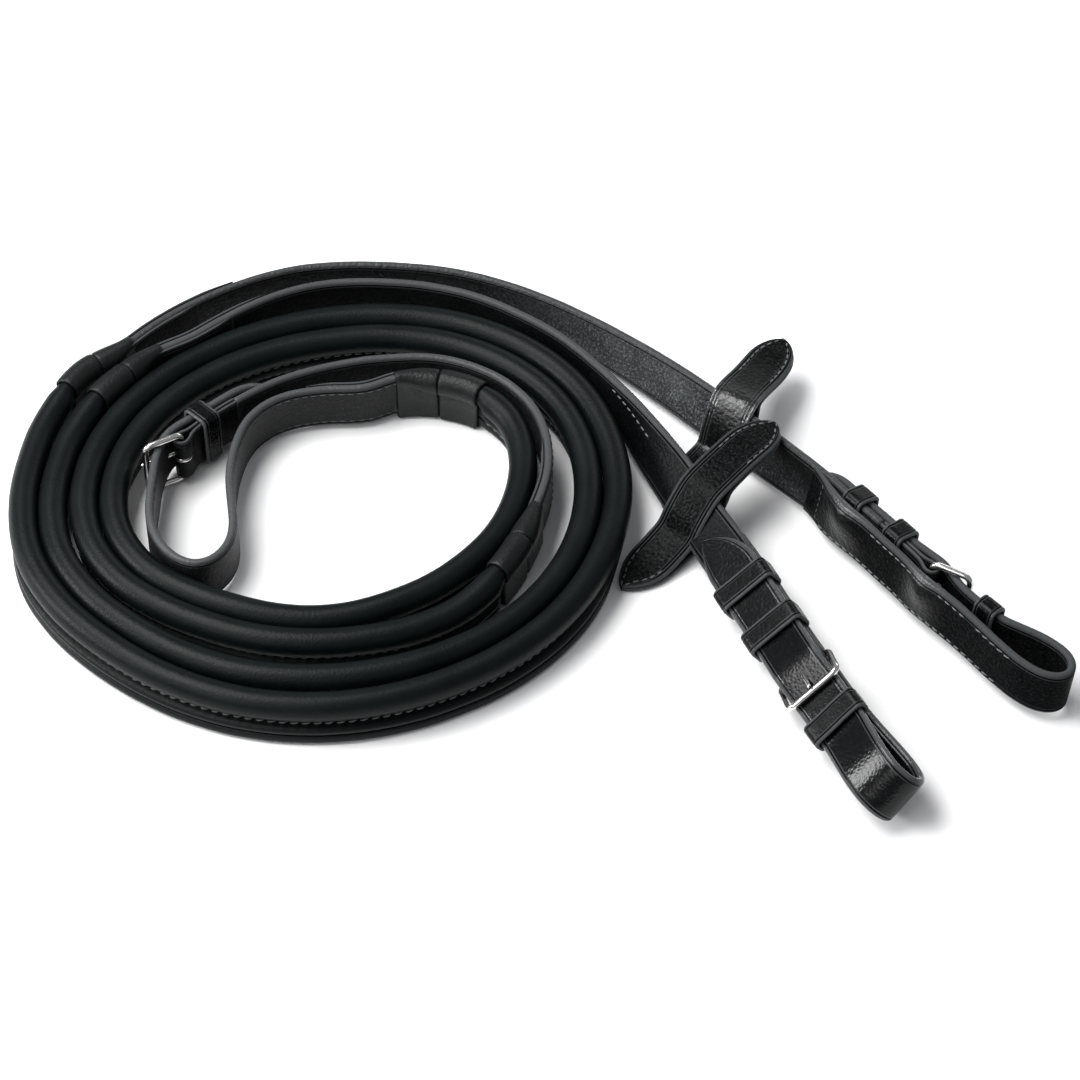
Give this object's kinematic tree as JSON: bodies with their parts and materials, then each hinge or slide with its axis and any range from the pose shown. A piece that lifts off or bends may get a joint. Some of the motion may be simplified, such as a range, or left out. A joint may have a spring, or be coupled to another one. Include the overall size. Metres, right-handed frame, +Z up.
{
  "type": "leather riding reins",
  "caption": "Black leather riding reins with rolled grips, looped buckled bit ends, sliding rein stops and a small centre buckle, laid down in a coil.",
  "frame": {"origin": "bottom centre of the coiled set, on the surface it lies on", "axes": "+Z up; +X to the bit ends, away from the coil; +Y away from the viewer"},
  "size_m": [0.3144, 0.216, 0.0217],
  "materials": {
    "strap_leather": "satin, burnished edges",
    "billet_leather": "polished",
    "keeper_leather": "polished",
    "grip_leather": "soft satin, fine grain",
    "core_cord": "matt twisted cord, hidden",
    "sleeve_leather": "satin",
    "stop_leather": "satin, creased edges",
    "nickel_plate": "bright nickel plate"
  },
  "bodies": {
    "reins": {"billet_a": "billet_leather", "billet_b": "billet_leather", "chape_a": "strap_leather", "chape_b": "strap_leather", "chape_hand": "strap_leather", "core_a": "core_cord", "core_b": "core_cord", "grip_a": "grip_leather", "grip_b": "grip_leather", "hand_a": "strap_leather", "hand_b": "strap_leather", "keeper_a1": "keeper_leather", "keeper_a2": "keeper_leather", "keeper_a3": "keeper_leather", "keeper_b1": "keeper_leather", "keeper_b2": "keeper_leather", "keeper_b3": "keeper_leather", "keeper_hand": "keeper_leather", "sleeve_bit_a": "sleeve_leather", "sleeve_bit_b": "sleeve_leather", "sleeve_hand_a": "sleeve_leather", "sleeve_hand_b": "sleeve_leather", "strap_a": "strap_leather", "strap_b": "strap_leather"},
    "frame_a": {"buckle_a_frame": "nickel_plate"},
    "tongue_a": {"buckle_a_tongue": "nickel_plate"},
    "frame_b": {"buckle_b_frame": "nickel_plate"},
    "tongue_b": {"buckle_b_tongue": "nickel_plate"},
    "frame_hand": {"buckle_hand_frame": "nickel_plate"},
    "tongue_hand": {"buckle_hand_tongue": "nickel_plate"},
    "stop_a": {"stop_a": "stop_leather"},
    "stop_b": {"stop_b": "stop_leather"}
  },
  "joints": [
    {"name": "frame_a_hinge", "type": "hinge", "parent": "reins", "child": "frame_a", "pos_m": [0.11711, -0.0248, 0.01138], "axis": [0.1091, 0.0877, 0.9901], "range_deg": [0, 5]},
    {"name": "tongue_a_hinge", "type": "hinge", "parent": "frame_a", "child": "tongue_a", "pos_m": [0.11711, -0.0248, 0.01138], "axis": [0.1091, 0.0877, 0.9901], "range_deg": [0, 5]},
    {"name": "frame_b_hinge", "type": "hinge", "parent": "reins", "child": "frame_b", "pos_m": [0.07907, -0.05672, 0.01066], "axis": [-0.7402, -0.3621, -0.5666], "range_deg": [0, 5]},
    {"name": "tongue_b_hinge", "type": "hinge", "parent": "frame_b", "child": "tongue_b", "pos_m": [0.07907, -0.05672, 0.01066], "axis": [-0.7402, -0.3621, -0.5666], "range_deg": [0, 5]},
    {"name": "frame_hand_hinge", "type": "hinge", "parent": "reins", "child": "frame_hand", "pos_m": [-0.1063, 0.02865, 0.01091], "axis": [0, 0, -1], "range_deg": [0, 3]},
    {"name": "tongue_hand_hinge", "type": "hinge", "parent": "frame_hand", "child": "tongue_hand", "pos_m": [-0.1063, 0.02865, 0.01091], "axis": [0, 0, -1], "range_deg": [0, 3]},
    {"name": "stop_a_slide", "type": "slide", "parent": "reins", "child": "stop_a", "axis": [-0.6956, 0.7184, 0.0002], "range_m": [-0.003, 0.005]},
    {"name": "stop_b_slide", "type": "slide", "parent": "reins", "child": "stop_b", "axis": [-0.4343, 0.9005, 0.0217], "range_m": [-0.003, 0.001]}
  ]
}
